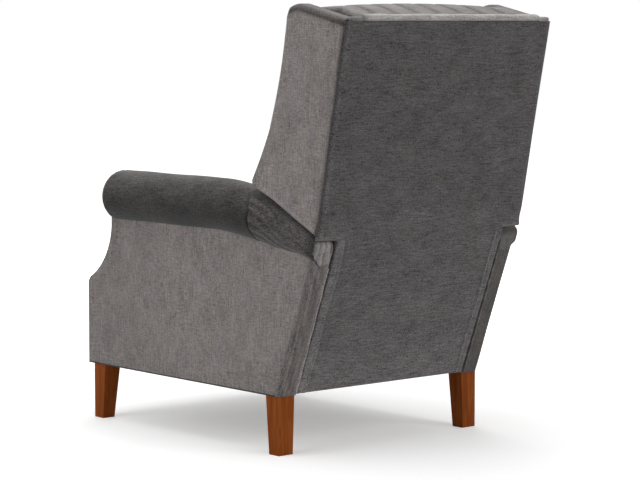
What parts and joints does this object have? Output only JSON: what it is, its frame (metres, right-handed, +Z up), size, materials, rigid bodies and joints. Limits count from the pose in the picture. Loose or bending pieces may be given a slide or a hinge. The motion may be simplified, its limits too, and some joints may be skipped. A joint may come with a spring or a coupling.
{
  "type": "recliner",
  "caption": "Wing-back push-back recliner with rolled sloping arms, tapered wood legs, reclining back, swinging seat and a linkage-carried footrest.",
  "frame": {"origin": "on the floor, under the centre of the bounding box at rest", "axes": "+Z up, the chair faces -Y, +X is the sitter's left"},
  "size_m": [0.7586, 1.096, 1.1242],
  "materials": {
    "upholstery": "woven chenille",
    "leg_wood": "satin cherry stain",
    "frame_wood": "raw",
    "spring_steel": "oiled",
    "mechanism_steel": "semi-gloss black"
  },
  "bodies": {
    "base": {"arm_core_left": "frame_wood", "arm_core_right": "frame_wood", "arm_outer_panel_left": "upholstery", "arm_outer_panel_right": "upholstery", "arm_inner_panel_left": "upholstery", "arm_inner_panel_right": "upholstery", "arm_front_band_left": "upholstery", "arm_front_band_right": "upholstery", "arm_rear_band_left": "upholstery", "arm_rear_band_right": "upholstery", "arm_roll_left": "upholstery", "arm_roll_right": "upholstery", "leg_front_left": "leg_wood", "leg_front_right": "leg_wood", "leg_rear_left": "leg_wood", "leg_rear_right": "leg_wood", "base_side_plate_left": "mechanism_steel", "base_side_plate_right": "mechanism_steel", "base_cross_rail_front": "frame_wood", "base_cross_rail_rear": "frame_wood", "back_pivot_bracket_left": "mechanism_steel", "back_pivot_bracket_right": "mechanism_steel"},
    "back": {"back_outside_panel": "upholstery", "back_rail_top": "frame_wood", "back_rail_low": "frame_wood", "back_top_band": "upholstery", "inside_back": "upholstery", "back_post_left": "frame_wood", "back_post_right": "frame_wood", "back_pivot_plate_left": "mechanism_steel", "back_pivot_plate_right": "mechanism_steel", "wing_left": "upholstery", "wing_right": "upholstery"},
    "swing_front": {"swing_link_front_left": "mechanism_steel", "swing_link_front_right": "mechanism_steel"},
    "swing_rear": {"swing_link_rear_left": "mechanism_steel", "swing_link_rear_right": "mechanism_steel"},
    "seat": {"seat_side_plate_left": "mechanism_steel", "seat_side_plate_right": "mechanism_steel", "seat_rail_front": "frame_wood", "seat_rail_middle": "frame_wood", "seat_rail_rear": "frame_wood", "seat_spring_left": "spring_steel", "seat_spring_middle": "spring_steel", "seat_spring_right": "spring_steel", "seat_deck": "upholstery", "seat_cushion": "upholstery", "seat_rail_side_left": "frame_wood", "seat_rail_side_right": "frame_wood"},
    "lift": {"footrest_lift_link_left": "mechanism_steel", "footrest_lift_link_right": "mechanism_steel", "footrest_cross_tube": "mechanism_steel"},
    "carry": {"footrest_carry_link_left": "mechanism_steel", "footrest_carry_link_right": "mechanism_steel"},
    "stay": {"footrest_stay_link_left": "mechanism_steel", "footrest_stay_link_right": "mechanism_steel"},
    "footrest": {"footrest_bracket_left": "mechanism_steel", "footrest_bracket_right": "mechanism_steel", "footrest_board": "frame_wood", "footrest_pad": "upholstery"}
  },
  "joints": [
    {"name": "back_recline", "type": "hinge", "parent": "base", "child": "back", "pos_m": [0, 0.325, 0.38], "axis": [-1, 0, 0], "range_deg": [0, 27]},
    {"name": "front_swing", "type": "hinge", "parent": "base", "child": "swing_front", "pos_m": [0, -0.24, 0.205], "axis": [1, 0, 0], "range_deg": [0, 24]},
    {"name": "rear_swing", "type": "hinge", "parent": "base", "child": "swing_rear", "pos_m": [0, -0.02, 0.205], "axis": [1, 0, 0], "range_deg": [0, 24]},
    {"name": "seat_float", "type": "hinge", "parent": "swing_front", "child": "seat", "pos_m": [0, -0.2217, 0.29108], "axis": [-1, 0, 0], "range_deg": [0, 24]},
    {"name": "footrest_lift", "type": "hinge", "parent": "seat", "child": "lift", "pos_m": [0, -0.465, 0.263], "axis": [-1, 0, 0], "range_deg": [0, 76]},
    {"name": "footrest_carry", "type": "hinge", "parent": "lift", "child": "carry", "pos_m": [0, -0.41131, 0.232], "axis": [1, 0, 0], "range_deg": [0, 152]},
    {"name": "footrest_stay", "type": "hinge", "parent": "lift", "child": "stay", "pos_m": [0, -0.45993, 0.18165], "axis": [1, 0, 0], "range_deg": [0, 152]},
    {"name": "footrest_turn", "type": "hinge", "parent": "carry", "child": "footrest", "pos_m": [0, -0.34631, 0.34458], "axis": [-1, 0, 0], "range_deg": [0, 152]}
  ],
  "couplings": [
    {"joint": "front_swing", "follows": "back_recline", "ratio": 0.88889},
    {"joint": "rear_swing", "follows": "back_recline", "ratio": 0.88889},
    {"joint": "seat_float", "follows": "back_recline", "ratio": 0.88889},
    {"joint": "footrest_lift", "follows": "back_recline", "ratio": 2.8148},
    {"joint": "footrest_carry", "follows": "back_recline", "ratio": 5.6296},
    {"joint": "footrest_stay", "follows": "back_recline", "ratio": 5.6296},
    {"joint": "footrest_turn", "follows": "back_recline", "ratio": 5.6296}
  ]
}
